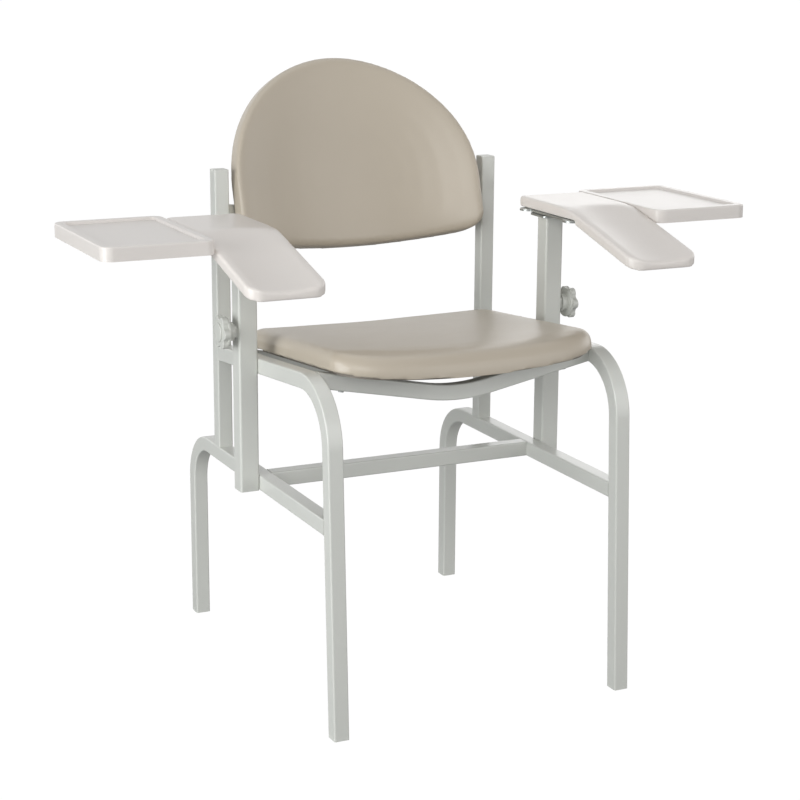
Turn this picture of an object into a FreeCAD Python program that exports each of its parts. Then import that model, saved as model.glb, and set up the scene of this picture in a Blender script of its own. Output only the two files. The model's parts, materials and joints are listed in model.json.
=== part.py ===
import FreeCAD, Part
import math
import os

# Phlebotomy chair, millimetres. The front faces -Y, +X is the viewer's right, the floor is Z 0.
os.makedirs("parts", exist_ok=True)
V = FreeCAD.Vector
X_AXIS = V(1, 0, 0)
Y_AXIS = V(0, 1, 0)
Z_AXIS = V(0, 0, 1)

# Frame
frame_width = 520.0
frame_depth = 648.0
tube_side = 25.0
tube_wall = 2.0
tube_corner = 2.5
tube_inner_corner = 0.8
leg_rake = 2.75
rail_slope = 5.0
rail_corner_height = 559.0
front_bend_radius = 90.0
rear_bend_radius = 77.5
lower_rail_top = 342.0
cross_bar_setback = 311.0
upright_setback = 491.0
upright_rise = 250.0
overrun = 60.0

# Feet and caps
glide_height = 5.0
glide_stem = 18.0
stem_clearance = 0.1
stem_corner = 0.8
cap_height = 4.0
cap_stem = 16.0

# Bowed bars
bow_slope = 10.8
bow_radius = 275.0
bow_end_drop = 0.5
front_bar_setback = 126.5
seat_rear_overhang = 39.0

# Arm sleeve, post and clamp
sleeve_side = 32.0
sleeve_bore = 25.6
sleeve_corner = 3.5
sleeve_bore_corner = 1.5
sleeve_setback = 303.0
arm_rise = 172.0
post_side = 25.4
post_wall = 2.0
post_corner = 1.6
post_inner_corner = 0.6
post_length = 250.0
plug_thickness = 12.0
plug_clearance = 0.1
clamp_rise = 21.0
boss_side = 20.0
boss_corner = 4.0
boss_thickness = 5.0
stud_diameter = 8.0
stud_running = 0.08
stud_hole_clearance = 0.4
stud_tip_gap = 0.1
stud_in_knob = 16.0

# Knob
knob_diameter = 56.0
knob_thickness = 9.0
knob_hub_diameter = 30.0
knob_hub_length = 10.0
knob_flange_diameter = 50.0
knob_flange_thickness = 3.0
knob_gap = 0.5
knob_lobes = 6
knob_lobe_radius = 8.5
knob_scallop_radius = 7.0
knob_cap_diameter = 31.0
knob_cap_height = 3.0
knob_edge = 1.4

# Arm swivel
head_side = 54.0
head_corner = 10.0
head_thickness = 3.0
washer_diameter = 46.0
washer_thickness = 1.0
plate_thickness = 3.3
plate_arm_width = 30.0
plate_spine_width = 46.0
plate_arm_spread = 145.0
plate_inner_reach = 33.0
plate_outer_reach = 66.0
plate_shift = 29.0
plate_hole_diameter = 8.0
plate_recess = 0.4
plate_screw_offset = 10.0
pivot_diameter = 10.0
pivot_running = 0.08
pivot_head_diameter = 17.0
pivot_head_height = 5.5
nut_across = 16.0
nut_height = 7.0
nut_gap = 0.25
nut_room = 3.0
screw_diameter = 5.0
screw_head_diameter = 9.0
screw_head_height = 2.6
screw_bite = 9.0
screw_hole_clearance = 0.15

# Arm pad
pad_length = 372.0
pad_width = 125.0
pad_inset = 5.0
pad_setback = 22.0
pad_thickness = 18.0
pad_flat_length = 167.0
pad_slope = 14.8
pad_blend_radius = 130.0
pad_front_corner = 24.0
pad_rear_corner = 9.0
pad_edge = 3.0
pad_under_edge = 1.5
trough_width = 100.0
trough_depth = 5.0

# Side tray
tray_length = 267.0
tray_width = 175.0
tray_height = 22.0
tray_gap = 0.4
tray_rear_reach = 23.0
tray_corner = 17.0
tray_rim = 13.0
tray_well_depth = 4.0
tray_well_corner = 8.0
tray_well_draft = 2.5
tray_skin = 3.0
tray_edge = 2.5
tray_boss_diameter = 14.0
strap_width = 22.0
strap_length = 120.0
strap_thickness = 3.0
strap_spread = 68.0
strap_corner = 5.0
strap_clearance = 1.0
strap_on_pad = 42.0
strap_end_hole = 12.0
strap_hole_pitch = 18.0

# Seat
seat_side_gap = 10.0
seat_length = 448.0
seat_front_overhang = 98.0
seat_side_thickness = 32.0
seat_dish = 18.0
seat_top_dish = 9.0
seat_side_round = 15.0
seat_under_round = 4.0
seat_bulge = 1.5
seat_front_curve = 68.0
seat_rear_curve = 62.0
seat_front_nose = 27.0
seat_rear_nose = 18.0
seat_rest_gap = 0.3
seat_screw_reach = 190.0
seat_under_share = 0.2
seat_curve_power = 3.2

# Back
back_side_gap = 11.0
back_height = 326.0
back_bar_side = 20.0
back_bar_corner = 2.0
back_bar_reach = 68.0
back_bar_rise = 184.0
back_side_height = 92.0
back_dome_power = 2.0
back_curve_power = 4.0
back_centre_thickness = 42.0
back_wrap = 66.0
back_lean = 17.5
back_bottom_curve = 36.0
back_side_round = 15.0
back_rear_round = 6.0
back_bulge = 1.0
back_top_nose = 22.0
back_bottom_nose = 16.0
back_screw_reach = 140.0
back_under_share = 0.25

# Boards and soft pads
board_thickness = 8.0
seat_board_proud = 4.0
seat_board_inset = 16.0
seat_board_ends = 24.0
seat_board_corner = 45.0
back_board_inset = 20.0
back_board_corner = 24.0
soft_clearance = 0.3
board_screw_bite = 6.0
nose_start = 1.0
nose_shares = (0.04, 0.2, 0.5, 1.0)
curve_shares = (0.6, 1.0)
body_shares = (0.25, 0.5, 0.75)
dome_shares = (0.25, 0.5, 0.68, 0.82, 0.91, 0.96)

# Places worked out from the sizes
half_width = frame_width / 2
upright_height = rail_corner_height + upright_rise
sleeve_top = rail_corner_height + arm_rise
clamp_height = rail_corner_height + clamp_rise
seat_width = frame_width - 2 * (tube_side + seat_side_gap)
back_width = frame_width - 2 * (tube_side + back_side_gap)
back_dome_height = back_height - back_side_height
front_y = -frame_depth / 2
rear_y = frame_depth / 2
inner_x = half_width - tube_side
tube_mid_x = half_width - tube_side / 2
rake_tan = math.tan(math.radians(leg_rake))
slope_tan = math.tan(math.radians(rail_slope))
bow_angle = math.radians(bow_slope)
bow_tan = math.tan(bow_angle)
lower_rail_bottom = lower_rail_top - tube_side
upright_y = front_y + upright_setback
tube_inside = tube_side - 2 * tube_wall
sleeve_x = half_width + sleeve_side / 2
sleeve_y = front_y + sleeve_setback + sleeve_side / 2
sleeve_wall = (sleeve_side - sleeve_bore) / 2
screw_hole_radius = screw_diameter / 2 + screw_hole_clearance
washer_bottom = sleeve_top + head_thickness
plate_bottom = washer_bottom + washer_thickness
pad_under = plate_bottom + plate_thickness
pad_top = pad_under + pad_thickness
pad_inner_x = half_width - pad_inset
pad_outer_x = pad_inner_x + pad_width
pad_front_y = front_y + pad_setback
pad_rear_y = pad_front_y + pad_length
plate_mid_y = sleeve_y - plate_shift
leg_corner_y = front_y + rail_corner_height * rake_tan
rail_frame = FreeCAD.Placement(
    V(0, leg_corner_y, rail_corner_height), FreeCAD.Rotation(X_AXIS, -rail_slope))


def rounded_rect(width, depth, corner, centre, across, up):
    """A flat face in the plane of across and up: a rectangle with round corners."""
    a = V(across).normalize()
    b = V(up).normalize()
    w = width / 2
    d = depth / 2
    k = corner * (1 - math.sqrt(0.5))

    def at(u, v):
        return V(centre) + a * u + b * v

    lines = []
    for i in range(4):
        quarter = FreeCAD.Rotation(Z_AXIS, 90 * i)
        along, aside = (w, d) if i % 2 == 0 else (d, w)
        points = [V(along, aside - corner, 0), V(along - k, aside - k, 0), V(along - corner, aside, 0),
                  V(corner - along, aside, 0)]
        first, middle, last, far = [quarter.multVec(p) for p in points]
        lines.append(Part.Arc(at(first.x, first.y), at(middle.x, middle.y), at(last.x, last.y)).toShape())
        lines.append(Part.LineSegment(at(last.x, last.y), at(far.x, far.y)).toShape())
    return Part.Face(Part.Wire(lines))


def tube_face(side, wall, corner, inner_corner, centre, across, up):
    """Section of a square tube, or of a solid bar where wall is 0."""
    outer = rounded_rect(side, side, corner, centre, across, up)
    if wall == 0:
        return outer
    inner_side = side - 2 * wall
    return outer.cut(rounded_rect(inner_side, inner_side, inner_corner, centre, across, up)).Faces[0]


def block(x0, x1, y0, y1, z0, z1):
    return Part.makeBox(x1 - x0, y1 - y0, z1 - z0, V(x0, y0, z0))


def rounded_block(width, depth, corner, centre, height):
    return rounded_rect(width, depth, corner, centre, X_AXIS, Y_AXIS).extrude(Z_AXIS * height)


def mirrored(shape):
    return shape.mirror(V(0, 0, 0), X_AXIS)


def joined(shapes):
    return shapes[0].multiFuse(shapes[1:]).removeSplitter()


def placed(shape, placement):
    copy = shape.copy()
    copy.Placement = placement.multiply(copy.Placement)
    return copy


def save(name, shape):
    if not shape.isValid():
        print("not valid:", name)
    shape.exportStep("parts/" + name + ".step")


def save_pair(name, shape):
    """The right-hand piece as drawn and the left-hand one as its mirror image."""
    save("right_" + name, shape)
    save("left_" + name, mirrored(shape))


def frame_tube(start, direction, length, wall):
    """Straight frame tube with one side along X, or along Y where it runs along X."""
    along = V(direction).normalize()
    across = Y_AXIS if abs(along.x) > math.sqrt(0.5) else X_AXIS
    face = tube_face(tube_side, wall, tube_corner, tube_inner_corner, start, across, along.cross(across))
    return face.extrude(along * length)


def bent_tube(start, first, second, bend_radius, first_run, second_run, bend_axis, wall):
    """Square tube: a run along first, a bend about bend_axis, then a run along second."""
    turn = math.degrees(first.getAngle(second))
    bend_start = start + first * first_run
    bend_centre = bend_start + bend_axis.cross(first) * bend_radius
    bend_end = bend_centre + FreeCAD.Rotation(bend_axis, turn).multVec(bend_start - bend_centre)
    face = tube_face(tube_side, wall, tube_corner, tube_inner_corner, bend_start,
                     X_AXIS, first.cross(X_AXIS))
    bend = face.revolve(bend_centre, bend_axis, turn)
    return joined([frame_tube(start, first, first_run, wall), bend,
                   frame_tube(bend_end, second, second_run, wall)])


def front_leg_line():
    """Direction of the front leg and the point where its centre line meets the floor."""
    up = V(0, rake_tan, 1).normalize()
    square = V(0, up.z, -up.y)
    return up, V(tube_mid_x, front_y, 0) + square * (tube_side / 2)


def front_leg(wall):
    """Front leg, large bend and seat rail, one tube, up to the front face of the upright."""
    up, foot = front_leg_line()
    back = V(0, 1, -slope_tan).normalize()
    tangent = (front_bend_radius + tube_side / 2) * math.tan(up.getAngle(back) / 2)
    reach = (V(0, leg_corner_y, rail_corner_height) - V(0, front_y, 0)).Length - tangent
    start = foot - up * overrun
    shape = bent_tube(start, up, back, front_bend_radius, reach + overrun, frame_depth, -X_AXIS, wall)
    keep = block(0, frame_width, front_y - overrun, upright_y, glide_height, upright_height)
    return shape.common(keep)


def rear_leg():
    """Rear leg, bend and lower rail, one tube. The rail's front end is coped to the front leg."""
    bend_top = rear_bend_radius + tube_side / 2
    start = V(tube_mid_x, rear_y - tube_side / 2, glide_height)
    shape = bent_tube(start, Z_AXIS, -Y_AXIS, rear_bend_radius, lower_rail_top - bend_top - glide_height,
                      frame_depth - bend_top - tube_side, X_AXIS, tube_wall)
    up, foot = front_leg_line()
    return shape.cut(rounded_leg_room(up, foot))


def rounded_leg_room(up, foot):
    """Space in front of the rear face of the front leg."""
    rear = foot + V(0, up.z, -up.y) * (tube_side / 2) - up * overrun
    face = Part.Face(Part.makePolygon([
        V(0, rear.y, rear.z),
        V(0, rear.y, rear.z) + up * upright_height,
        V(0, front_y - overrun, upright_height),
        V(0, front_y - overrun, rear.z),
        V(0, rear.y, rear.z)]))
    return face.extrude(X_AXIS * frame_width)


def foot_plug(centre, up, length):
    """Plastic glide: a foot the size of the tube and a stem up inside it."""
    stem_side = tube_inside - 2 * stem_clearance
    start = centre - up * overrun
    foot = frame_tube(start, up, overrun * 2, 0).common(
        block(0, frame_width, 2 * front_y, 2 * rear_y, 0, glide_height))
    stem = tube_face(stem_side, 0, stem_corner, 0, start, X_AXIS, up.cross(X_AXIS))
    stem = stem.extrude(up * 2 * overrun)
    return joined([foot, stem.common(
        block(0, frame_width, 2 * front_y, 2 * rear_y, glide_height / 2, glide_height + length))])


def upright():
    return frame_tube(V(tube_mid_x, upright_y + tube_side / 2, lower_rail_top), Z_AXIS,
                      upright_height - lower_rail_top, tube_wall)


def upright_cap():
    base = V(tube_mid_x, upright_y + tube_side / 2, upright_height)
    stem_side = tube_inside - 2 * stem_clearance
    top = frame_tube(base, Z_AXIS, cap_height, 0)
    edges = [e for e in top.Edges if e.BoundBox.ZMin > upright_height + cap_height / 2]
    top = top.makeFillet(cap_height / 3, edges)
    stem = rounded_block(stem_side, stem_side, stem_corner, base - Z_AXIS * cap_stem, cap_stem)
    return joined([top, stem])


def bowed_bar():
    """Square tube between the side frames, bowed down to a wide V with a round bottom.

    Its straight ends start at Z 0 on their upper side, and it is centred on Y 0.
    """
    centre_z = (bow_radius - tube_side / 2) / math.cos(bow_angle) - inner_x * bow_tan
    low_point = V(0, 0, centre_z - bow_radius)
    face = tube_face(tube_side, tube_wall, tube_corner, tube_inner_corner, low_point, Y_AXIS, Z_AXIS)
    bend = face.revolve(V(0, 0, centre_z), -Y_AXIS, bow_slope)
    end = V(bow_radius * math.sin(bow_angle), 0, centre_z - bow_radius * math.cos(bow_angle))
    run = frame_tube(end, V(math.cos(bow_angle), 0, math.sin(bow_angle)), inner_x, tube_wall)
    half = joined([bend, run]).common(block(0, inner_x, -tube_side, tube_side, -inner_x, inner_x))
    return joined([half, mirrored(half)])


def bow_normal(x):
    """Upward direction square to the sloping part of a bowed bar at x."""
    return V(-math.copysign(math.sin(bow_angle), x), 0, math.cos(bow_angle))


def bow_under(x):
    """Point on the under side of a bowed bar, square below its top side at x."""
    return V(x, 0, (abs(x) - inner_x) * bow_tan) - bow_normal(x) * tube_side


def bar_with_holes(reach):
    bar = bowed_bar()
    for x in (-reach, reach):
        start = bow_under(x) - bow_normal(x) * tube_side / 2
        bar = bar.cut(Part.makeCylinder(screw_hole_radius, 2 * tube_side, start, bow_normal(x)))
    return bar


def screw(seat, along, grip):
    """Pan head screw whose head seats at the given point, with its shank grip long."""
    top = seat - along * screw_head_height
    head = Part.makeCylinder(screw_head_diameter / 2, screw_head_height, top, along)
    rim = [e for e in head.Edges if len(e.Vertexes) == 1 and
           (e.CenterOfMass - seat).Length > screw_head_height / 2]
    head = head.makeFillet(screw_head_height / 2, rim)
    return joined([head, Part.makeCylinder(screw_diameter / 2, grip, seat, along)])


def bar_screw(x, grip):
    return screw(bow_under(x), bow_normal(x), grip)


def section_height(radius, u):
    return radius - math.sqrt(radius ** 2 - u ** 2)


def dish_radius(half, sag):
    return (half ** 2 + sag ** 2) / (2 * sag)


def cushion_section(s, half, low, high, low_radius, high_radius, low_round, high_round, bulge):
    """Closed outline at s along a cushion: two dished faces, bulged sides and round corners."""
    low_round = min(low_round, (high - low) / 4)
    high_round = min(high_round, (high - low) / 3)
    low_u = half - low_round
    high_u = half - high_round
    low_v = low + section_height(low_radius, low_u)
    side_low = low + section_height(low_radius, half) + low_round
    high_v = high + section_height(high_radius, high_u)
    side_high = high_v - high_round
    k = 1 - math.sqrt(0.5)
    low_middle = side_low - low_round + k * (low_v + 2 * low_round - side_low)
    right = [(low_u, low_v), (half - k * low_round, low_middle), (half, side_low),
             (half + bulge, (side_low + side_high) / 2), (half, side_high),
             (half - k * high_round, high_v - k * high_round), (high_u, high_v)]
    ring = [(0, low)] + right + [(0, high)] + [(-u, v) for u, v in reversed(right)]
    points = [V(u, s, v) for u, v in ring]
    edges = [Part.Arc(points[-1], points[0], points[1]).toShape()]
    for i in range(1, len(points) - 2, 2):
        edges.append(Part.Arc(points[i], points[i + 1], points[i + 2]).toShape())
    return Part.Wire(edges)


def end_curve(distance, length, power):
    """Share of the full half width at a distance from a rounded end."""
    if distance >= length:
        return 1.0
    return (1 - (1 - distance / length) ** 2) ** (1 / power)


def end_drop(distance, nose):
    """How far a face falls away at a distance from a rounded end."""
    if distance >= nose:
        return 0.0
    return nose * (1 - math.sqrt(1 - (1 - distance / nose) ** 2))


def end_distances(nose, curve):
    return [nose * share for share in nose_shares] + [
        nose + (curve - nose) * share for share in curve_shares]


def seat_cushion_block():
    """Seat cushion in the rail frame, before the board is let in: S along the rails, V square to them."""
    half = seat_width / 2
    radius = dish_radius(half, seat_dish)
    top_radius = dish_radius(half, seat_top_dish)
    low = seat_low() + seat_board_proud
    high = low + seat_dish + seat_side_thickness - seat_top_dish
    front = end_distances(seat_front_nose, seat_front_curve)
    rear = end_distances(seat_rear_nose, seat_rear_curve)
    inner = seat_length - front[-1] - rear[-1]
    stations = [(d, d, seat_length) for d in front]
    stations += [(front[-1] + inner * share, front[-1], rear[-1]) for share in body_shares]
    stations += [(seat_length - d, seat_length, d) for d in reversed(rear)]
    wires = []
    for s, from_front, from_rear in stations:
        share = end_curve(from_front, seat_front_curve, seat_curve_power)
        share *= end_curve(from_rear, seat_rear_curve, seat_curve_power)
        drop = end_drop(from_front, seat_front_nose) + end_drop(from_rear, seat_rear_nose)
        wires.append(cushion_section(
            s, half * share, low + drop * seat_under_share, high - drop * (1 - seat_under_share),
            radius, top_radius, seat_under_round, seat_side_round, seat_bulge))
    shape = Part.makeLoft(wires, True, False)
    shape.translate(V(0, front_bar_s() - seat_front_overhang, 0))
    return shape


def front_bar_s():
    """Distance of the front seat bar along the rails from the corner of leg and rail."""
    return (front_y + front_bar_setback - leg_corner_y) / math.cos(math.radians(rail_slope))


def rear_bar_s():
    return front_bar_s() - seat_front_overhang + seat_length - seat_rear_overhang


def seat_low():
    """Height of the middle of the board's under side in the rail frame, as the bars carry its edges."""
    edge = seat_width / 2 - seat_board_inset
    edge_rise = section_height(dish_radius(seat_width / 2, seat_dish), edge)
    return seat_rest_gap - bow_end_drop - (inner_x - edge) * bow_tan - edge_rise


def dished_board(outline, radius, low, thickness):
    """Bent board: the outline pushed through a shell of the given outer radius about the S axis."""
    length = 4 * (seat_length + back_height)
    start = V(0, -length / 2, low + radius)
    outer = Part.makeCylinder(radius, length, start, Y_AXIS)
    inner = Part.makeCylinder(radius - thickness, length, start, Y_AXIS)
    return outline.common(outer).cut(inner)


def seat_board_outline(margin):
    length = seat_length - 2 * seat_board_ends + 2 * margin
    width = seat_width - 2 * seat_board_inset + 2 * margin
    middle = front_bar_s() - seat_front_overhang + seat_length / 2
    return rounded_block(width, length, seat_board_corner, V(0, middle, -seat_width), seat_width)


def seat_bar_places():
    return [V(0, front_bar_s(), -bow_end_drop), V(0, rear_bar_s(), -bow_end_drop)]


def make_seat():
    radius = dish_radius(seat_width / 2, seat_dish)
    low = seat_low()
    board = dished_board(seat_board_outline(0), radius, low, board_thickness)
    room = dished_board(seat_board_outline(soft_clearance), radius + overrun / 2, low - overrun / 2,
                        overrun / 2 + board_thickness + soft_clearance)
    cushion = seat_cushion_block().cut(room)
    screws = []
    for place in seat_bar_places():
        for x in (-seat_screw_reach, seat_screw_reach):
            one = bar_screw(x, tube_side + board_screw_bite)
            one.translate(place)
            board = board.cut(one)
            screws.append(one)
    save("seat_board", placed(board, rail_frame))
    save("seat_cushion", placed(cushion, rail_frame))
    save("seat_screws", placed(Part.makeCompound(screws), rail_frame))
    for name, place in zip(("front_seat_bar", "rear_seat_bar"), seat_bar_places()):
        bar = bar_with_holes(seat_screw_reach)
        bar.translate(place)
        save(name, placed(bar, rail_frame))


def back_radius():
    """Radius of the pad's rear face, round an upright axis in front of it."""
    return dish_radius(back_width / 2, back_wrap)


def back_frame():
    """Placement of the pad: drawn flat with the sitter above, then stood up and leant back.

    The ends of the curved bar behind the pad meet the middle of the uprights.
    """
    lean = math.radians(back_lean)
    end_v = section_height(back_radius() + seat_rest_gap + back_bar_side / 2, inner_x)
    end_v -= seat_rest_gap + back_bar_side / 2
    origin = V(
        0,
        upright_y + tube_side / 2 - back_bar_reach * math.sin(lean) + end_v * math.cos(lean),
        rail_corner_height + back_bar_rise - back_bar_reach * math.cos(lean) - end_v * math.sin(lean))
    return FreeCAD.Placement(origin, FreeCAD.Rotation(X_AXIS, 90 - back_lean))


def back_bar_centre():
    return V(0, back_bar_reach, back_radius())


def back_bar():
    """Square tube bent to the curve of the pad's rear face, cut flat at the uprights."""
    centre = back_bar_centre()
    near = back_radius() + seat_rest_gap
    middle = centre - Z_AXIS * (near + back_bar_side / 2)
    face = tube_face(back_bar_side, tube_wall, back_bar_corner, tube_inner_corner, middle, Y_AXIS, Z_AXIS)
    half = face.revolve(centre, -Y_AXIS, math.degrees(math.asin(inner_x / near)))
    half = half.common(block(0, inner_x, 0, back_height, -back_width, back_width))
    return joined([half, mirrored(half)])


def back_screw_seat(x):
    """Point on the curved bar's rear side where a screw head seats, and the way into the bar."""
    rear = back_radius() + seat_rest_gap + back_bar_side
    angle = math.asin(x / rear)
    along = V(-math.sin(angle), 0, math.cos(angle))
    return back_bar_centre() - along * rear, along


def back_cushion_block():
    """Back cushion: S runs up the pad from its lower edge, V is 0 at the middle of its rear face."""
    half = back_width / 2
    radius = back_radius()
    bottom = end_distances(back_bottom_nose, back_bottom_curve)
    stations = [(d, 1.0) for d in bottom]
    stations += [((bottom[-1] + back_side_height) / 2, 1.0), (back_side_height, 1.0)]
    for share in dome_shares:
        stations.append((back_side_height + back_dome_height * share, dome_width(share)))
    top = 1 - nose_start / back_dome_height
    stations.append((back_height - nose_start, dome_width(top)))
    wires = []
    for s, dome in stations:
        share = end_curve(s, back_bottom_curve, back_curve_power) * dome
        drop = end_drop(s, back_bottom_nose) + end_drop(back_height - s, back_top_nose)
        wires.append(cushion_section(
            s, half * share, drop * back_under_share, back_centre_thickness - drop * (1 - back_under_share),
            radius, radius,
            back_rear_round, back_side_round, back_bulge))
    return Part.makeLoft(wires, True, False)


def dome_width(share):
    return (1 - share ** back_dome_power) ** (1 / back_dome_power)


def half_ellipse(centre, half, rise):
    """Arch over the centre, half as wide on each side as given and rise high."""
    if half > rise:
        return Part.Arc(Part.Ellipse(centre, half, rise), 0, math.pi).toShape()
    tall = Part.Ellipse(centre + Y_AXIS * rise, centre + X_AXIS * half, centre)
    return Part.Arc(tall, -math.pi / 2, math.pi / 2).toShape()


def back_board_outline(margin):
    """D shape: a low rectangle with an ellipse arch on top, inset from the pad."""
    half = back_width / 2 - back_board_inset + margin
    low = back_board_inset - margin
    spring = back_side_height
    rise = back_dome_height - back_board_inset + margin
    c = back_board_corner
    k = c * (1 - math.sqrt(0.5))
    edges = [
        half_ellipse(V(0, spring, 0), half, rise),
        Part.LineSegment(V(-half, spring, 0), V(-half, low + c, 0)).toShape(),
        Part.Arc(V(-half, low + c, 0), V(k - half, low + k, 0), V(c - half, low, 0)).toShape(),
        Part.LineSegment(V(c - half, low, 0), V(half - c, low, 0)).toShape(),
        Part.Arc(V(half - c, low, 0), V(half - k, low + k, 0), V(half, low + c, 0)).toShape(),
        Part.LineSegment(V(half, low + c, 0), V(half, spring, 0)).toShape(),
    ]
    face = Part.Face(Part.Wire(edges))
    face.translate(-Z_AXIS * back_width)
    return face.extrude(Z_AXIS * 2 * back_width)


def make_back():
    """Pad, board, curved bar and screws."""
    radius = back_radius()
    frame = back_frame()
    board = dished_board(back_board_outline(0), radius, 0, board_thickness)
    room = dished_board(back_board_outline(soft_clearance), radius + overrun / 2, -overrun / 2,
                        overrun / 2 + board_thickness + soft_clearance)
    cushion = back_cushion_block().cut(room)
    bar = back_bar()
    screws = []
    for x in (-back_screw_reach, back_screw_reach):
        head, along = back_screw_seat(x)
        one = screw(head, along, back_bar_side + board_screw_bite)
        screws.append(one)
        board = board.cut(one)
        bar = bar.cut(Part.makeCylinder(screw_hole_radius, 2 * back_bar_side,
                                        head - along * back_bar_side / 2, along))
    save("back_board", placed(board, frame))
    save("back_cushion", placed(cushion, frame))
    save("back_screws", placed(Part.makeCompound(screws), frame))
    save("back_bar", placed(bar, frame))


def make_side_frame():
    save_pair("front_leg", front_leg(tube_wall))
    save_pair("rear_leg", rear_leg())
    save_pair("back_upright", upright())
    save_pair("upright_cap", upright_cap())
    up, foot = front_leg_line()
    save_pair("front_glide", foot_plug(foot, up, glide_stem))
    save_pair("rear_glide", foot_plug(V(tube_mid_x, rear_y - tube_side / 2, 0), Z_AXIS, glide_stem))


def make_cross_bar():
    start = V(-inner_x, front_y + cross_bar_setback + tube_side / 2, lower_rail_top - tube_side / 2)
    save("lower_cross_bar", frame_tube(start, X_AXIS, 2 * inner_x, tube_wall))


def clamp_axis(x, length, radius):
    return Part.makeCylinder(radius, length, V(x, sleeve_y, clamp_height), X_AXIS)


def make_sleeve():
    base = V(sleeve_x, sleeve_y, lower_rail_bottom)
    sleeve = tube_face(sleeve_side, sleeve_wall, sleeve_corner, sleeve_bore_corner, base, X_AXIS, Y_AXIS)
    sleeve = sleeve.extrude(Z_AXIS * (sleeve_top - lower_rail_bottom))
    stud_hole = clamp_axis(sleeve_x, sleeve_side, stud_diameter / 2 + stud_hole_clearance)
    save_pair("arm_sleeve", sleeve.cut(stud_hole))
    plug_side = sleeve_bore - 2 * plug_clearance
    save_pair("sleeve_plug", rounded_block(plug_side, plug_side, sleeve_bore_corner, base, plug_thickness))
    outer_x = sleeve_x + sleeve_side / 2
    boss = rounded_rect(boss_side, boss_side, boss_corner, V(outer_x, sleeve_y, clamp_height),
                        Y_AXIS, Z_AXIS).extrude(X_AXIS * boss_thickness)
    save_pair("clamp_boss", boss.cut(clamp_axis(sleeve_x, sleeve_side, stud_diameter / 2 + stud_running)))


def knob_star(x):
    """Six round lobes joined by tangent scallops, as one outline pushed along the clamp axis."""
    lobe_reach = knob_diameter / 2 - knob_lobe_radius
    half_pitch = math.pi / knob_lobes
    drop = lobe_reach * math.sin(half_pitch)
    scallop_reach = lobe_reach * math.cos(half_pitch) + math.sqrt(
        (knob_lobe_radius + knob_scallop_radius) ** 2 - drop ** 2)
    share = knob_lobe_radius / (knob_lobe_radius + knob_scallop_radius)

    def at(reach, angle):
        return V(x, sleeve_y + reach * math.cos(angle), clamp_height + reach * math.sin(angle))

    edges = []
    for i in range(knob_lobes):
        middle = 2 * math.pi * i / knob_lobes
        lobe = at(lobe_reach, middle)
        before = lobe + (at(scallop_reach, middle - half_pitch) - lobe) * share
        after = lobe + (at(scallop_reach, middle + half_pitch) - lobe) * share
        next_lobe = at(lobe_reach, middle + 2 * half_pitch)
        far = next_lobe + (at(scallop_reach, middle + half_pitch) - next_lobe) * share
        valley = at(scallop_reach - knob_scallop_radius, middle + half_pitch)
        edges.append(Part.Arc(before, at(knob_diameter / 2, middle), after).toShape())
        edges.append(Part.Arc(after, valley, far).toShape())
    return Part.Face(Part.Wire(edges)).extrude(X_AXIS * knob_thickness)


def make_knob():
    """Lobed clamp knob on its stud: hub, round flange, six lobes and a raised cap."""
    hub_x = sleeve_x + sleeve_side / 2 + boss_thickness + knob_gap
    flange_x = hub_x + knob_hub_length
    star_x = flange_x + knob_flange_thickness
    cap_x = star_x + knob_thickness
    star = knob_star(star_x)
    rim = [e for e in star.Edges if e.BoundBox.XMin > cap_x - stem_clearance]
    star = star.makeFillet(knob_edge, rim)
    cap = clamp_axis(cap_x, knob_cap_height, knob_cap_diameter / 2)
    cap_rim = [e for e in cap.Edges if e.BoundBox.XMin > cap_x + knob_cap_height / 2]
    cap = cap.makeFillet(knob_cap_height / 2, cap_rim)
    knob = joined([
        clamp_axis(hub_x, knob_hub_length, knob_hub_diameter / 2),
        clamp_axis(flange_x, knob_flange_thickness, knob_flange_diameter / 2), star, cap])
    tip_x = sleeve_x + post_side / 2 + stud_tip_gap
    stud = clamp_axis(tip_x, hub_x + stud_in_knob - tip_x, stud_diameter / 2)
    save_pair("clamp_knob", knob.cut(stud))
    save_pair("knob_stud", stud)


def post_axis(z, height, radius):
    return Part.makeCylinder(radius, height, V(sleeve_x, sleeve_y, z), Z_AXIS)


def make_post():
    base = V(sleeve_x, sleeve_y, sleeve_top - post_length)
    post = tube_face(post_side, post_wall, post_corner, post_inner_corner, base, X_AXIS, Y_AXIS)
    save_pair("arm_post", post.extrude(Z_AXIS * post_length))
    shank_top = pad_under + nut_gap + nut_height + nut_room / 2
    shank = post_axis(sleeve_top, shank_top - sleeve_top, pivot_diameter / 2)
    top = V(sleeve_x, sleeve_y, sleeve_top)
    head = rounded_block(head_side, head_side, head_corner, top, head_thickness)
    save_pair("post_head", head.cut(shank))
    save_pair("swivel_washer", post_axis(washer_bottom, washer_thickness, washer_diameter / 2).cut(shank))
    bolt_head = post_axis(sleeve_top - pivot_head_height, pivot_head_height, pivot_head_diameter / 2)
    save_pair("pivot_bolt", joined([bolt_head, shank]))
    corner_reach = nut_across / math.sqrt(3)
    nut_low = pad_under + nut_gap
    corners = [V(sleeve_x + corner_reach * math.cos(math.radians(60 * i)),
                 sleeve_y + corner_reach * math.sin(math.radians(60 * i)), nut_low) for i in range(7)]
    nut = Part.Face(Part.makePolygon(corners)).extrude(Z_AXIS * nut_height)
    save_pair("pivot_nut", nut.cut(shank))


def plate_screw_places():
    outer = sleeve_x + plate_outer_reach - plate_arm_width / 2
    inner = sleeve_x + plate_screw_offset
    return [V(x, plate_mid_y + side * plate_arm_spread / 2, plate_bottom)
            for x in (inner, outer) for side in (-1, 1)]


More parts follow.
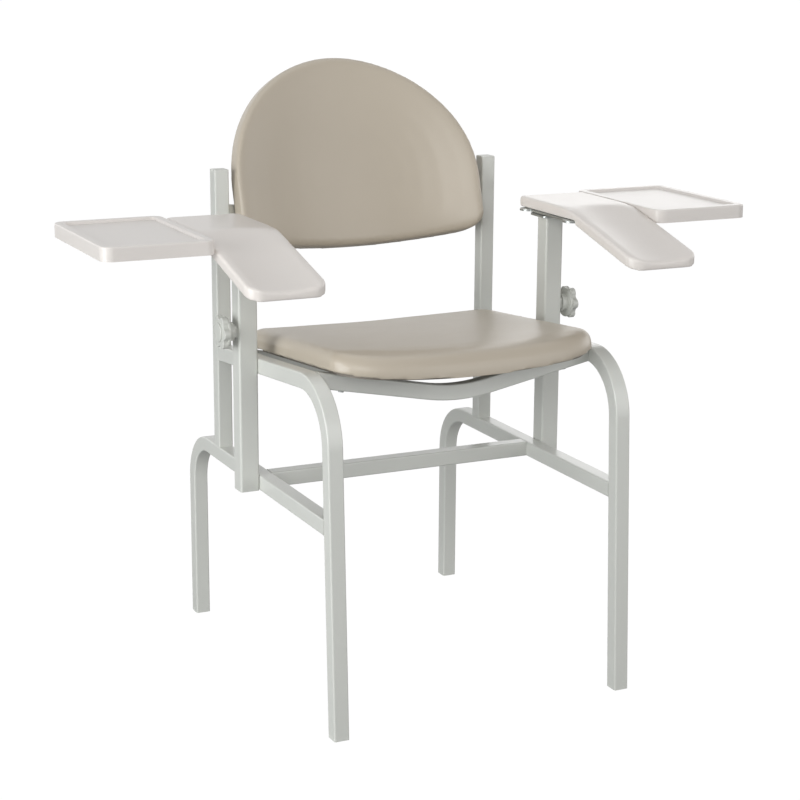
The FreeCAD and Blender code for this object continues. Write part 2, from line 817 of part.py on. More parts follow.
def plate_arm(side, margin, low, height):
    """One cross arm of the plate, with round ends, grown by the margin in plan."""
    length = plate_inner_reach + plate_outer_reach + 2 * margin
    width = plate_arm_width + 2 * margin
    middle = V(sleeve_x + (plate_outer_reach - plate_inner_reach) / 2,
               plate_mid_y + side * plate_arm_spread / 2, low)
    return rounded_block(length, width, width / 2 - stem_clearance, middle, height)


def plate_spine(margin, low, height):
    return rounded_block(plate_spine_width + 2 * margin, plate_arm_spread, tube_corner,
                         V(sleeve_x, plate_mid_y, low), height)


def make_arm_plate():
    """Flat plate with two cross arms, round lobes and a spare hole in each inner lobe."""
    pieces = [plate_spine(0, plate_bottom, plate_thickness)]
    holes = [post_axis(plate_bottom, plate_thickness, pivot_diameter / 2 + pivot_running)]
    hole_x = sleeve_x - plate_inner_reach + plate_arm_width / 2
    for side in (-1, 1):
        pieces.append(plate_arm(side, 0, plate_bottom, plate_thickness))
        hole_base = V(hole_x, plate_mid_y + side * plate_arm_spread / 2, plate_bottom)
        holes.append(Part.makeCylinder(plate_hole_diameter / 2, plate_thickness, hole_base, Z_AXIS))
    plate = joined(pieces)
    screws = [screw(place, Z_AXIS, plate_thickness + screw_bite) for place in plate_screw_places()]
    for cutter in holes + screws:
        plate = plate.cut(cutter)
    save_pair("arm_plate", plate)
    save_pair("plate_screws", Part.makeCompound(screws))


def pad_profile():
    """Side view of the pad: flat behind, a blend, then a straight slope down to the front."""
    slope = math.radians(pad_slope)
    break_y = pad_rear_y - pad_flat_length
    tangent = pad_blend_radius * math.tan(slope / 2)
    centre = V(0, break_y + tangent, pad_top - pad_blend_radius)
    forward = V(0, -math.cos(slope), -math.sin(slope))
    run = (break_y - pad_front_y) / math.cos(slope) - tangent + pad_thickness
    sides = []
    ends = []
    for radius in (pad_blend_radius, pad_blend_radius - pad_thickness):
        flat_end = centre + Z_AXIS * radius
        middle = centre + V(0, -math.sin(slope / 2), math.cos(slope / 2)) * radius
        slope_start = centre + V(0, -math.sin(slope), math.cos(slope)) * radius
        rear = V(0, pad_rear_y, flat_end.z)
        front = slope_start + forward * run
        sides.append([
            Part.LineSegment(rear, flat_end).toShape(),
            Part.Arc(flat_end, middle, slope_start).toShape(),
            Part.LineSegment(slope_start, front).toShape()])
        ends.append((rear, front))
    (top_rear, top_front), (under_rear, under_front) = ends
    edges = sides[0] + [Part.LineSegment(top_front, under_front).toShape()]
    edges += sides[1][::-1] + [Part.LineSegment(under_rear, top_rear).toShape()]
    return Part.Face(Part.Wire(edges)), forward


def plan_prism(x0, x1, y0, y1, front_corner, rear_corner):
    """Upright prism with larger round corners in front than behind."""
    def corner(x, y, sx, sy, r):
        k = r * (1 - math.sqrt(0.5))
        return V(x - sx * r, y, 0), V(x - sx * k, y - sy * k, 0), V(x, y - sy * r, 0)

    arcs = [corner(x1, y0, 1, -1, front_corner), corner(x1, y1, 1, 1, rear_corner)[::-1],
            corner(x0, y1, -1, 1, rear_corner), corner(x0, y0, -1, -1, front_corner)[::-1]]
    edges = []
    for i, (first, middle, last) in enumerate(arcs):
        edges.append(Part.Arc(first, middle, last).toShape())
        edges.append(Part.LineSegment(last, arcs[(i + 1) % len(arcs)][0]).toShape())
    return Part.Face(Part.Wire(edges)).extrude(Z_AXIS * 2 * pad_top)


def pad_rim_edges(body, upper):
    """Edges round the upper or the lower rim of the pad."""
    slope_tangent = math.tan(math.radians(pad_slope))
    rim = []
    for edge in body.Edges:
        box = edge.BoundBox
        upright_edge = max(box.XLength, box.YLength) < pad_under_edge
        across = abs(box.XLength - pad_width) < pad_under_edge
        middle = edge.valueAt((edge.FirstParameter + edge.LastParameter) / 2)
        fall = max(0, pad_rear_y - pad_flat_length - middle.y) * slope_tangent
        above = middle.z > pad_top - fall - pad_thickness / 2
        if above == upper and not upright_edge and not across:
            rim.append(edge)
    return rim


def make_pad():
    """Moulded arm pad with a shallow trough down its slope that opens at the front lip.

    A recess under the start of the slope gives the plate's front arm a flat seat.
    """
    profile, forward = pad_profile()
    body = profile.extrude(X_AXIS * pad_width)
    body.translate(X_AXIS * pad_inner_x)
    body = body.common(plan_prism(pad_inner_x, pad_outer_x, pad_front_y, pad_rear_y,
                                  pad_front_corner, pad_rear_corner))
    body = body.makeFillet(pad_edge, pad_rim_edges(body, True))
    body = body.makeFillet(pad_under_edge, pad_rim_edges(body, False))
    trough_radius = dish_radius(trough_width / 2, trough_depth)
    square = V(0, forward.z, -forward.y)
    break_point = V((pad_inner_x + pad_outer_x) / 2, pad_rear_y - pad_flat_length, pad_top)
    start = break_point + square * (trough_radius - trough_depth) - forward * pad_length
    body = body.cut(Part.makeCylinder(trough_radius, 2 * pad_length, start, forward))
    for place in plate_screw_places() + strap_screw_places()[0]:
        body = body.cut(screw(place, Z_AXIS, pad_under - place.z + screw_bite))
    body = body.cut(plate_arm(-1, plate_recess, pad_under - pad_thickness, pad_thickness))
    body = body.cut(plate_spine(plate_recess, pad_under - pad_thickness, pad_thickness))
    pocket_radius = nut_across / math.sqrt(3) + nut_room
    body = body.cut(post_axis(pad_under, nut_gap + nut_height + nut_room, pocket_radius))
    save_pair("arm_pad", body)


def strap_places():
    x0 = pad_outer_x - strap_on_pad
    return [(x0, plate_mid_y + side * strap_spread / 2) for side in (-1, 1)]


def strap_screw_places():
    """Screw places under the pad, and those under the tray."""
    low = pad_under - strap_thickness
    on_pad = []
    on_tray = []
    for x0, y in strap_places():
        for step in (0, 1):
            on_pad.append(V(x0 + strap_end_hole + step * strap_hole_pitch, y, low))
            on_tray.append(V(x0 + strap_length - strap_end_hole - 2 * step * strap_hole_pitch, y, low))
    return on_pad, on_tray


def make_straps():
    on_pad, on_tray = strap_screw_places()
    screws = [screw(place, Z_AXIS, strap_thickness + screw_bite) for place in on_pad + on_tray]
    straps = []
    for x0, y in strap_places():
        strap = rounded_block(strap_length, strap_width, strap_corner,
                              V(x0 + strap_length / 2, y, pad_under - strap_thickness), strap_thickness)
        for one in screws:
            strap = strap.cut(one)
        straps.append(strap)
    save_pair("tray_straps", Part.makeCompound(straps))
    save_pair("strap_screws", Part.makeCompound(screws))


def make_tray():
    """Thin-walled tray with a rim round a flat well, hollow below, with bosses for the straps."""
    x0 = pad_outer_x + tray_gap
    mid = V(x0 + tray_width / 2, pad_rear_y + tray_rear_reach - tray_length / 2, pad_top - tray_height)
    body = rounded_block(tray_width, tray_length, tray_corner, mid, tray_height)
    body = body.makeFillet(tray_edge, [e for e in body.Edges if e.BoundBox.ZMin > pad_top - tray_edge])
    rings = []
    for draft, depth in ((tray_well_draft, tray_well_depth), (0, 0)):
        rings.append(rounded_rect(
            tray_width - 2 * (tray_rim + draft), tray_length - 2 * (tray_rim + draft),
            tray_well_corner - draft, V(mid.x, mid.y, pad_top - depth), X_AXIS, Y_AXIS).OuterWire)
    body = body.cut(Part.makeLoft(rings, True, True))
    cavity_height = tray_height - tray_well_depth - tray_skin
    cavity = rounded_block(tray_width - 2 * tray_skin, tray_length - 2 * tray_skin, tray_corner - tray_skin,
                           mid, cavity_height)
    for place in strap_screw_places()[1]:
        boss_base = V(place.x, place.y, pad_under)
        cavity = cavity.cut(Part.makeCylinder(tray_boss_diameter / 2, tray_height, boss_base, Z_AXIS))
    body = body.cut(cavity)
    for strap_x, y in strap_places():
        half = strap_width / 2 + strap_clearance
        body = body.cut(block(strap_x, x0 + tray_skin * 2, y - half, y + half, mid.z, pad_under))
    for place in strap_screw_places()[1]:
        body = body.cut(screw(place, Z_AXIS, strap_thickness + screw_bite))
    save_pair("arm_tray", body)


make_side_frame()
make_cross_bar()
make_seat()
make_back()
make_sleeve()
make_knob()
make_post()
make_arm_plate()
make_pad()
make_straps()
make_tray()
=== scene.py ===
import json
import math

import bmesh
import bpy
import numpy
from mathutils import Matrix, Vector
from mathutils.bvhtree import BVHTree


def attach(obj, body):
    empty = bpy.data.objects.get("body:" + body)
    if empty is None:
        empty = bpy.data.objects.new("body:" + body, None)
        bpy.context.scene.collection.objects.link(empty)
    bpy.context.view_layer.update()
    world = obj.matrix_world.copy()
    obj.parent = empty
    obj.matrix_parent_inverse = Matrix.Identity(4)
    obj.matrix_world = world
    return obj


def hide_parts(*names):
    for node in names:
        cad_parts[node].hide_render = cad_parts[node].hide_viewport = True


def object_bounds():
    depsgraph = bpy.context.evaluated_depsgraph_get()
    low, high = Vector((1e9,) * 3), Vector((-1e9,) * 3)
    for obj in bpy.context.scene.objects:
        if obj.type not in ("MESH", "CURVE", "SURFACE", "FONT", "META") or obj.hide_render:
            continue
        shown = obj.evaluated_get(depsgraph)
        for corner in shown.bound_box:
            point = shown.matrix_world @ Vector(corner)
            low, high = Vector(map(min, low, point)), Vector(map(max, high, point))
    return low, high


# Phlebotomy chair, metres. The front faces -Y, +X is the viewer's right, the floor is Z 0.
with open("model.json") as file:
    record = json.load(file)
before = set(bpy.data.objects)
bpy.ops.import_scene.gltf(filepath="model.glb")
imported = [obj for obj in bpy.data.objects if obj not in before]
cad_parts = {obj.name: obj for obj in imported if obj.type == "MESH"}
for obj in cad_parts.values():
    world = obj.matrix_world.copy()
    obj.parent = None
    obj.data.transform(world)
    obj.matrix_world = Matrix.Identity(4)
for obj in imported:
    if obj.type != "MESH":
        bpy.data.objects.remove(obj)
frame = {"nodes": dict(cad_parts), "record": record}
cad_low, cad_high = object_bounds()
nodes = frame["nodes"]
SIDES = ("right", "left")

# Camera
camera_place = Vector((-1.352, -2.8569, 1.2213))
camera_azimuth = math.radians(-25.32)
camera_elevation = math.radians(13.94)
camera_roll = 0.0059
camera_lens = 87.96
sensor_width = 36.0

# Studio
floor_reach = 40.0
floor_grey = 0.32
floor_roughness = 0.7
floor_glow = 1.1
floor_glow_share = 0.9
world_level = 0.28
lamp_aim = Vector((0.0, 0.0, 0.55))

# Colours, linear
PAINT = (0.66, 0.67, 0.63)
PAINT_LIGHT = (0.69, 0.7, 0.66)
VINYL = (0.472, 0.416, 0.336)
VINYL_LIGHT = (0.508, 0.448, 0.363)
PAD = (0.77, 0.725, 0.685)
PAD_LIGHT = (0.8, 0.755, 0.715)
TRAY = (0.74, 0.7, 0.665)
TRAY_LIGHT = (0.765, 0.725, 0.69)
KNOB = (0.6, 0.61, 0.57)
KNOB_LIGHT = (0.64, 0.65, 0.61)
STEEL = (0.4, 0.42, 0.41)
STEEL_LIGHT = (0.5, 0.52, 0.51)
BLACK = (0.02, 0.02, 0.021)
DARK_GREY = (0.05, 0.045, 0.04)
COVER = (0.2, 0.182, 0.158)
COVER_LIGHT = (0.27, 0.245, 0.213)
WHITE = (1.0, 1.0, 1.0)

# Sockets of a Mix node that blends colours
mix_share = 0
mix_first = 6
mix_second = 7
mix_result = 2

# Rails that carry the seat
leg_rake = math.radians(2.75)
rail_slope = math.radians(5.0)
rail_corner_height = 0.559
leg_corner_y = cad_low[1] + rail_corner_height * math.tan(leg_rake)

# Seat pad, along the rails from the corner of leg and rail
seat_half = 0.2285
seat_front = 0.0015
seat_rear = 0.4505
seat_front_curve = 0.072
seat_rear_curve = 0.06
seat_power = 3.3
seat_under = -0.0167
seat_dish = 0.018
seat_top_dish = 0.009
seat_side_thickness = 0.0335
seat_under_round = 0.003
seat_top_round = 0.021
seat_fall = 0.008
seat_fall_length = 0.08
seat_droop = 0.004
seat_board_inset = 0.017
seat_board_room = 0.0043
seat_end_steps = 28
seat_side_steps = 8

# Back pad, up from its lower edge
back_half = 0.2252
back_rise = 0.3315
back_straight = 0.094
back_corner = 0.028
back_bow = 0.011
back_thickness = 0.042
back_wrap = 0.066
back_lean = math.radians(17.5)
back_foot_y = 0.2175
back_foot_z = 0.657
back_under_round = 0.005
back_top_round = 0.013
back_board_inset = 0.0205
back_board_room = 0.0083
back_middle_share = 0.42
back_foot_steps = 12
back_corner_steps = 10
back_side_steps = 6
back_dome_steps = 36

# Cushions
face_rings = (0.04, 0.15, 0.3, 0.45, 0.6, 0.75, 0.9)
under_round_steps = 4
top_round_steps = 8
cushion_grain = 0.004
cushion_swell = 0.0015
air_pressure = 4.0
air_frames = 20
held_reach = 0.004
loose_reach = 0.022
swell_passes = 40
softening_passes = 2

# Arm pads, with the crease where the slope begins
merge_reach = 0.00002
pad_grain = 0.0025
crease_passes = 60
crease_y = -0.112
crease_reach = 0.05
crease_fade = 0.025
rim_upward = 0.8
top_upward = 0.92


class Wire:
    """A value that runs between the nodes of a material, for use in sums."""

    def __init__(self, finish, socket):
        self.finish = finish
        self.socket = socket

    def sum_of(self, operation, first, second):
        return self.finish.node("ShaderNodeMath", {0: first, 1: second}, {"operation": operation})

    def __add__(self, other):
        return self.sum_of("ADD", self, other)

    def __radd__(self, other):
        return self.sum_of("ADD", other, self)

    def __sub__(self, other):
        return self.sum_of("SUBTRACT", self, other)

    def __rsub__(self, other):
        return self.sum_of("SUBTRACT", other, self)

    def __mul__(self, other):
        return self.sum_of("MULTIPLY", self, other)

    def __rmul__(self, other):
        return self.sum_of("MULTIPLY", other, self)


class Finish:
    """One procedural surface: its nodes, its shader and the place on the piece."""

    def __init__(self, name):
        self.material = bpy.data.materials.new(name)
        self.material.use_nodes = True
        self.tree = self.material.node_tree
        self.surface = self.tree.nodes["Principled BSDF"].inputs
        self.place = self.node("ShaderNodeTexCoord", {}, output="Object")

    def node(self, kind, sockets, settings=None, output=0):
        """One output of a new node, which gets its settings first and then its sockets."""
        made = self.tree.nodes.new(kind)
        for name, value in (settings or {}).items():
            setattr(made, name, value)
        for name, value in sockets.items():
            self.feed(made.inputs[name], value)
        return Wire(self, made.outputs[output])

    def feed(self, socket, value):
        """Links a wire to a socket, or sets a plain value on it."""
        if isinstance(value, Wire):
            self.tree.links.new(value.socket, socket)
        else:
            socket.default_value = value

    def noise(self, scale, detail=2.0):
        return self.node("ShaderNodeTexNoise", {"Vector": self.place, "Scale": scale, "Detail": detail})

    def blend(self, share, first, second):
        """A colour between two, by the share of the second."""
        return self.node("ShaderNodeMix",
                         {mix_share: share, mix_first: (*first, 1.0), mix_second: (*second, 1.0)},
                         {"data_type": "RGBA"}, output=mix_result)

    def span(self, value, low, high):
        """The value clamped and stretched so that low becomes 0 and high 1."""
        return self.node("ShaderNodeMapRange", {"Value": value, "From Min": low, "From Max": high})

    def bump(self, height, depth, strength):
        return self.node("ShaderNodeBump", {"Height": height, "Distance": depth, "Strength": strength},
                         output="Normal")

    def set(self, **values):
        """Feeds the shader's sockets by name, and gives back the material."""
        for name, value in values.items():
            self.feed(self.surface[name.replace("_", " ")], value)
        return self.material


def satin_paint(name, first, second):
    """Powder coat with a faint orange peel."""
    finish = Finish(name)
    cloud = finish.noise(7.0, detail=3.0)
    peel = finish.noise(900.0, detail=1.0)
    return finish.set(
        Base_Color=finish.blend(cloud, first, second),
        Roughness=0.26 + 0.08 * finish.noise(60.0),
        Normal=finish.bump(peel, depth=0.00006, strength=0.25),
        Coat_Weight=0.3)


def moulded(name, first, second, gloss):
    """Moulded plastic or self-skinned foam: smooth, with a very fine grain."""
    finish = Finish(name)
    cloud = finish.noise(5.0)
    grain = finish.noise(1400.0)
    return finish.set(
        Base_Color=finish.blend(cloud, first, second),
        Roughness=gloss + 0.06 * finish.noise(40.0),
        Normal=finish.bump(grain, depth=0.00006, strength=0.3))


def vinyl_cloth():
    """Smooth upholstery vinyl with a shallow leather grain."""
    finish = Finish("taupe_vinyl")
    cells = finish.node("ShaderNodeTexVoronoi", {"Vector": finish.place, "Scale": 620.0},
                        {"feature": "DISTANCE_TO_EDGE"})
    crease = finish.span(cells, low=0.0, high=0.16)
    cloud = finish.noise(9.0, detail=3.0)
    return finish.set(
        Base_Color=finish.blend(cloud, VINYL, VINYL_LIGHT),
        Roughness=0.37 - 0.04 * crease + 0.06 * finish.noise(30.0),
        Normal=finish.bump(crease + 0.5 * finish.noise(240.0), depth=0.00008, strength=0.3),
        Coat_Weight=0.15,
        Coat_Roughness=0.22)


def bright_steel():
    """Bright steel, slightly uneven in tone."""
    finish = Finish("bright_steel")
    cloud = finish.noise(40.0)
    return finish.set(
        Base_Color=finish.blend(cloud, STEEL, STEEL_LIGHT),
        Metallic=1.0,
        Roughness=0.28 + 0.12 * finish.noise(90.0),
        Normal=finish.bump(finish.noise(500.0), depth=0.00003, strength=0.3))


def cover_cloth():
    """Grey-brown cover cloth over the boards."""
    finish = Finish("board_cover")
    fibre = finish.noise(1500.0, detail=3.0)
    return finish.set(
        Base_Color=finish.blend(fibre, COVER, COVER_LIGHT),
        Roughness=0.85,
        Normal=finish.bump(fibre, depth=0.0001, strength=0.5))


def black_plastic():
    """Dull black plastic of the swivel washers."""
    finish = Finish("black_plastic")
    return finish.set(
        Base_Color=finish.blend(finish.noise(60.0), BLACK, DARK_GREY),
        Roughness=0.45,
        Normal=finish.bump(finish.noise(900.0), depth=0.00004, strength=0.3))


CAP_FINISH = moulded("cap_plastic", PAINT, PAINT_LIGHT, gloss=0.42)
PAD_FINISH = moulded("pad_skin", PAD, PAD_LIGHT, gloss=0.27)
VINYL_FINISH = vinyl_cloth()

SLOT_FINISHES = {
    "frame_paint": satin_paint("frame_paint", PAINT, PAINT_LIGHT),
    "grey_plastic": CAP_FINISH,
    "glide_plastic": CAP_FINISH,
    "knob_plastic": moulded("knob_plastic", KNOB, KNOB_LIGHT, gloss=0.22),
    "pad_skin": PAD_FINISH,
    "tray_plastic": moulded("tray_plastic", TRAY, TRAY_LIGHT, gloss=0.27),
    "seat_vinyl": VINYL_FINISH,
    "bright_steel": bright_steel(),
    "board_wood": cover_cloth(),
    "washer_plastic": black_plastic()}


def dress_frame():
    """Gives each carried-over node the finish of its slot."""
    for part in frame["record"]["subparts"]:
        for held in nodes[part["node"]].material_slots:
            held.material = SLOT_FINISHES[part["material_slot"]]


def piece_from(name, shape, finish):
    """A new object from a bmesh, at the origin."""
    mesh = bpy.data.meshes.new(name)
    bmesh.ops.recalc_face_normals(shape, faces=shape.faces)
    shape.to_mesh(mesh)
    shape.free()
    mesh.materials.append(finish)
    piece = bpy.data.objects.new(name, mesh)
    bpy.context.scene.collection.objects.link(piece)
    return piece


def bake(piece):
    """Makes the piece's modifiers part of its mesh."""
    shown = piece.evaluated_get(bpy.context.evaluated_depsgraph_get())
    mesh = bpy.data.meshes.new_from_object(shown)
    piece.modifiers.clear()
    piece.data = mesh


def even_piece(name, shape, finish, grain):
    """A piece of small even faces over the shape, with its edges softened."""
    piece = piece_from(name, shape, finish)
    even = piece.modifiers.new("even", "REMESH")
    even.mode = "VOXEL"
    even.voxel_size = grain
    bake(piece)
    shape = bmesh.new()
    shape.from_mesh(piece.data)
    for _ in range(softening_passes):
        bmesh.ops.smooth_vert(shape, verts=shape.verts, factor=0.5, use_axis_x=True, use_axis_y=True,
                              use_axis_z=True)
    shape.to_mesh(piece.data)
    shape.free()
    return piece


def places_of(mesh):
    """The places of a mesh's vertices, one row for each."""
    places = numpy.empty(3 * len(mesh.vertices))
    mesh.vertices.foreach_get("co", places)
    return places.reshape(-1, 3)


def eased(mesh, values, passes, share=1.0):
    """The values of the vertices, each one averaged with its neighbours again and again.

    A share under 1 holds a vertex back.
    """
    ends = numpy.empty(2 * len(mesh.edges), dtype=int)
    mesh.edges.foreach_get("vertices", ends)
    first, second = ends.reshape(-1, 2).T
    count = numpy.bincount(ends, minlength=len(values))
    for _ in range(passes):
        total = numpy.bincount(first, values[second], len(values))
        total += numpy.bincount(second, values[first], len(values))
        values = values + share * (total / count - values) / 2
    return values


def looseness(piece, board):
    """For each vertex, 0 where it is held by the board, rising smoothly to 1 away from it."""
    shape = bmesh.new()
    shape.from_mesh(nodes[board].data)
    surface = BVHTree.FromBMesh(shape)
    shape.free()
    loose = []
    for vertex in piece.data.vertices:
        reach = surface.find_nearest(vertex.co)[3]
        share = min(max((reach - held_reach) / (loose_reach - held_reach), 0.0), 1.0)
        loose.append(share * share * (3.0 - 2.0 * share))
    return numpy.array(loose)


def inflate(piece, board):
    """Lets air into a cushion with cloth simulation: it stays put on its board and swells elsewhere.

    It starts drawn in by the swell, and no point moves further than the swell.
    """
    loose = looseness(piece, board)
    normals = numpy.array([vertex.normal for vertex in piece.data.vertices])
    start = places_of(piece.data) - normals * (cushion_swell * loose)[:, None]
    piece.data.vertices.foreach_set("co", start.ravel())
    pins = piece.vertex_groups.new(name="held")
    for index in numpy.nonzero(loose < 1.0)[0].tolist():
        pins.add([index], 1.0 - loose[index], "REPLACE")
    cloth = piece.modifiers.new("air", "CLOTH")
    cloth.settings.use_pressure = True
    cloth.settings.uniform_pressure_force = air_pressure
    cloth.settings.effector_weights.gravity = 0.0
    cloth.settings.vertex_group_mass = "held"
    cloth.collision_settings.use_collision = False
    cloth.point_cache.frame_end = air_frames
    for moment in range(1, air_frames + 1):
        bpy.context.scene.frame_set(moment)
    bake(piece)
    swell = ((places_of(piece.data) - start) * normals).sum(axis=1)
    swell = eased(piece.data, numpy.clip(swell, -cushion_swell, cushion_swell), swell_passes) * loose
    piece.data.vertices.foreach_set("co", (start + normals * swell[:, None]).ravel())
    bpy.context.scene.frame_set(1)


def finish_soft(piece, node, body):
    rounder = piece.modifiers.new("rounder", "SUBSURF")
    rounder.levels = 1
    rounder.render_levels = 1
    for face in piece.data.polygons:
        face.use_smooth = True
    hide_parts(node)
    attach(piece, body)


def quarter(steps):
    """Angles from 0 to a right angle."""
    return [math.pi / 2 * step / steps for step in range(steps + 1)]


def bend(half, rise, reach):
    """How far a round face comes forward at a reach from its middle. At the half width it is the rise."""
    radius = (half ** 2 + rise ** 2) / (2 * rise)
    return radius - math.sqrt(radius ** 2 - reach ** 2)


def both_sides(right):
    """The right half of an outline, from its low middle to its high middle, and its mirror image."""
    return right + [Vector((-point.x, point.y)) for point in reversed(right[1:-1])]


def side_layers(thickness, under_round, top_round):
    """Inset and share of the thickness up a cushion's side, from its under face to its top face."""
    layers = [(under_round * (1 - math.sin(a)), under_round * (1 - math.cos(a)) / thickness)
              for a in quarter(under_round_steps)]
    layers += [(top_round * (1 - math.cos(a)), 1 - top_round * (1 - math.sin(a)) / thickness)
               for a in quarter(top_round_steps)]
    return layers


def cushion_shape(outline, middle, layers, place):
    """A closed cushion: rings of its outline up the side, and smaller rings to the middle of each face."""
    rings = []
    for inner in face_rings:
        rings.append([(middle + (point - middle) * inner, layers[0][1]) for point in outline(layers[0][0])])
    for inset, share in layers:
        rings.append([(point, share) for point in outline(inset)])
    for inner in reversed(face_rings):
        rings.append([(middle + (point - middle) * inner, 1.0) for point in outline(layers[-1][0])])
    shape = bmesh.new()
    loops = [[shape.verts.new(place(point.x, point.y, share)) for point, share in ring] for ring in rings]
    for lower, upper in zip(loops, loops[1:]):
        for i in range(len(lower)):
            shape.faces.new((lower[i - 1], lower[i], upper[i], upper[i - 1]))
    shape.faces.new(loops[0])
    shape.faces.new(loops[-1])
    return shape


def cushion(name, node, board, shape):
    """A vinyl cushion on its board, swollen with air."""
    piece = even_piece(name, shape, VINYL_FINISH, cushion_grain)
    inflate(piece, board)
    finish_soft(piece, node, "frame")


def seat_outline(inset):
    """The seat from above: nearly straight sides and bowed ends with full corners."""
    half = seat_half - inset
    front = seat_front + inset
    rear = seat_rear - inset
    front_curve = seat_front_curve - inset
    rear_curve = seat_rear_curve - inset
    right = [Vector((half * math.sin(a) ** (2 / seat_power), front + front_curve * (1 - math.cos(a))))
             for a in quarter(seat_end_steps)]
    start = right[-1].y
    run = rear - rear_curve - start
    right += [Vector((half, start + run * step / seat_side_steps)) for step in range(1, seat_side_steps)]
    right += [Vector((half * math.sin(a) ** (2 / seat_power), rear - rear_curve * (1 - math.cos(a))))
              for a in reversed(quarter(seat_end_steps))]
    return both_sides(right)


def seat_place(across, along, share):
    """A point of the seat: across it, along the rails, and a share of its thickness up."""
    under = seat_under + bend(seat_half, seat_dish, across)
    top = seat_under + seat_dish + seat_side_thickness - seat_top_dish
    top += bend(seat_half, seat_top_dish, across)
    fall = max(1 - (along - seat_front) / seat_fall_length, 0.0) ** 2
    under -= seat_droop * fall
    height = under + share * (top - under - seat_fall * fall)
    return (across,
            leg_corner_y + along * math.cos(rail_slope) + height * math.sin(rail_slope),
            rail_corner_height - along * math.sin(rail_slope) + height * math.cos(rail_slope))


def seat_pad():
    layers = [(seat_board_inset, seat_board_room / seat_side_thickness)]
    layers += side_layers(seat_side_thickness, seat_under_round, seat_top_round)
    middle = Vector((0.0, (seat_front + seat_rear) / 2))
    shape = cushion_shape(seat_outline, middle, layers, seat_place)
    cushion("seat_pad", "seat_cushion", "seat_board", shape)


def back_outline(inset):
    """The back from the front: round lower corners, straight sides and an elliptical top."""
    half = back_half - inset
    corner = back_corner - inset
    side = back_straight - back_corner
    dome = back_rise - back_straight - inset
    right = [Vector(((half - corner) * step / back_foot_steps, inset)) for step in range(back_foot_steps)]
    right += [Vector((half - corner * (1 - math.sin(a)), inset + corner * (1 - math.cos(a))))
              for a in quarter(back_corner_steps)]
    right += [Vector((half, back_corner + side * step / back_side_steps))
              for step in range(1, back_side_steps)]
    right += [Vector((half * math.cos(a), back_straight + dome * math.sin(a)))
              for a in quarter(back_dome_steps)]
    return both_sides(right)


def back_place(across, along, share):
    """A point of the back: across it, up it, and a share of its thickness towards the sitter."""
    forward = back_thickness * share + bend(back_half, back_wrap, across)
    along += back_bow * (across / back_half) ** 2 * (1 - along / back_rise)
    return (across,
            back_foot_y + along * math.sin(back_lean) - forward * math.cos(back_lean),
            back_foot_z + along * math.cos(back_lean) + forward * math.sin(back_lean))


def back_pad():
    layers = [(back_board_inset, back_board_room / back_thickness)]
    layers += side_layers(back_thickness, back_under_round, back_top_round)
    middle = Vector((0.0, back_rise * back_middle_share))
    shape = cushion_shape(back_outline, middle, layers, back_place)
    cushion("back_pad", "back_cushion", "back_board", shape)


def soften_crease(piece):
    """Eases the top of an arm pad where the slope and its trough begin, and leaves the rim alone."""
    places = places_of(piece.data)
    upward = numpy.array([vertex.normal.z for vertex in piece.data.vertices])
    share = numpy.clip((upward - rim_upward) / (top_upward - rim_upward), 0.0, 1.0)
    distance = abs(places[:, 1] - crease_y)
    share *= numpy.clip((crease_reach - distance) / crease_fade, 0.0, 1.0)
    for axis in range(3):
        places[:, axis] = eased(piece.data, places[:, axis], crease_passes, share)
    piece.data.vertices.foreach_set("co", places.ravel())


def arm_pad(side):
    node = side + "_arm_pad"
    shape = bmesh.new()
    shape.from_mesh(nodes[node].data)
    bmesh.ops.remove_doubles(shape, verts=shape.verts, dist=merge_reach)
    piece = even_piece(side + "_arm_rest", shape, PAD_FINISH, pad_grain)
    soften_crease(piece)
    finish_soft(piece, node, side + "_arm")


def studio_floor():
    """A grey floor that the camera sees as white."""
    finish = Finish("floor")
    seen = finish.node("ShaderNodeLightPath", {}, output="Is Camera Ray")
    glow = finish.node("ShaderNodeEmission", {"Color": (*WHITE, 1.0), "Strength": floor_glow})
    finish.set(Base_Color=(floor_grey, floor_grey, floor_grey, 1.0), Roughness=floor_roughness)
    plain = Wire(finish, finish.tree.nodes["Principled BSDF"].outputs[0])
    mixed = finish.node("ShaderNodeMixShader", {0: seen * floor_glow_share, 1: plain, 2: glow})
    finish.tree.links.new(mixed.socket, finish.tree.nodes["Material Output"].inputs["Surface"])
    shape = bmesh.new()
    bmesh.ops.create_grid(shape, x_segments=1, y_segments=1, size=floor_reach)
    floor = piece_from("studio_floor", shape, finish.material)


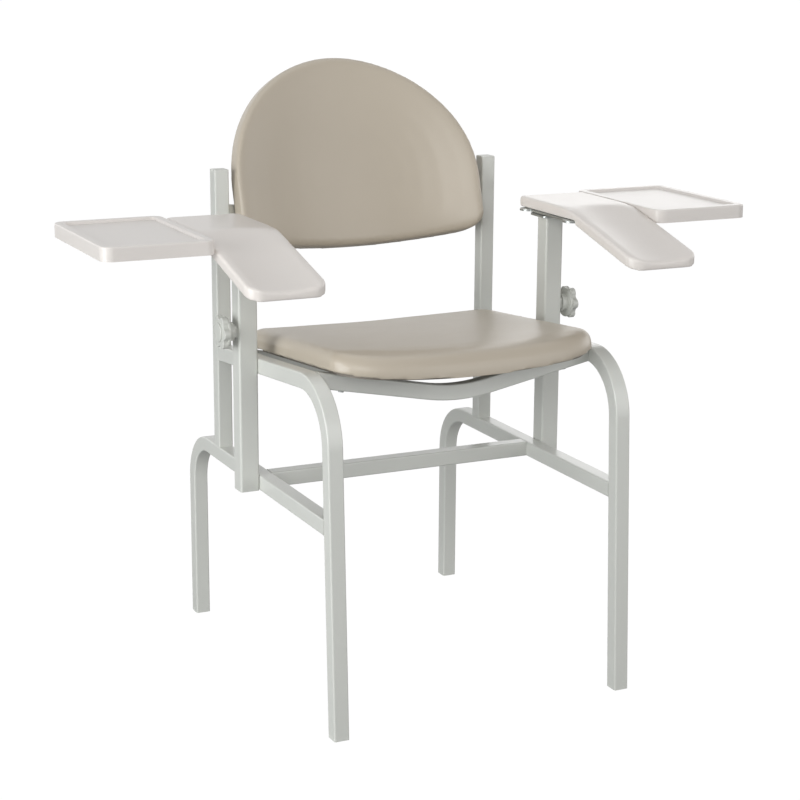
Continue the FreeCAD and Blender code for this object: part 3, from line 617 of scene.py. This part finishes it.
def studio_world():
    """White surroundings for the camera and for reflections, and a dim even light."""
    world = bpy.data.worlds.new("studio")
    bpy.context.scene.world = world
    world.use_nodes = True
    tree = world.node_tree
    path = tree.nodes.new("ShaderNodeLightPath")
    seen = tree.nodes.new("ShaderNodeMath")
    seen.operation = "MAXIMUM"
    level = tree.nodes.new("ShaderNodeMapRange")
    level.inputs["To Min"].default_value = world_level
    level.inputs["To Max"].default_value = 1.0
    tree.links.new(path.outputs["Is Camera Ray"], seen.inputs[0])
    tree.links.new(path.outputs["Is Glossy Ray"], seen.inputs[1])
    tree.links.new(seen.outputs[0], level.inputs["Value"])
    tree.links.new(level.outputs[0], tree.nodes["Background"].inputs["Strength"])
    tree.nodes["Background"].inputs["Color"].default_value = (*WHITE, 1.0)


def lamp(name, place, size, power, colour=WHITE):
    """A soft square lamp that points at the chair."""
    light = bpy.data.lights.new(name, "AREA")
    light.size = size
    light.energy = power
    light.color = colour
    held = bpy.data.objects.new(name, light)
    held.location = place
    held.rotation_mode = "QUATERNION"
    held.rotation_quaternion = (lamp_aim - held.location).to_track_quat("-Z", "Y")
    held.visible_camera = False
    bpy.context.scene.collection.objects.link(held)


def photo_camera():
    """Camera where the photograph was taken from."""
    back = Vector((math.sin(camera_azimuth) * math.cos(camera_elevation),
                   -math.cos(camera_azimuth) * math.cos(camera_elevation),
                   math.sin(camera_elevation)))
    right = Vector((0.0, 0.0, 1.0)).cross(back).normalized()
    up = back.cross(right)
    turned = Matrix.Rotation(camera_roll, 3, back)
    axes = Matrix((turned @ right, turned @ up, back)).transposed()
    data = bpy.data.cameras.new("photo_camera")
    data.lens = camera_lens
    data.sensor_width = sensor_width
    camera = bpy.data.objects.new("photo_camera", data)
    camera.matrix_world = Matrix.Translation(camera_place) @ axes.to_4x4()
    bpy.context.scene.collection.objects.link(camera)
    bpy.context.scene.camera = camera


dress_frame()
seat_pad()
back_pad()
for side in SIDES:
    arm_pad(side)
studio_floor()
studio_world()
lamp("left", (-3.0, -0.75, 0.95), size=1.8, power=62.0, colour=(0.97, 0.99, 1.0))
lamp("front_left", (-1.9, -3.2, 2.2), size=1.6, power=34.0)
lamp("front_right", (1.8, -2.9, 1.3), size=2.4, power=27.0)
lamp("top", (0.3, 0.3, 3.0), size=1.8, power=8.0)
lamp("rear", (2.3, 2.4, 1.5), size=1.6, power=8.0)
lamp("right", (3.2, 0.2, 1.4), size=2.0, power=16.0)
photo_camera()
bpy.context.scene.view_settings.view_transform = "Standard"
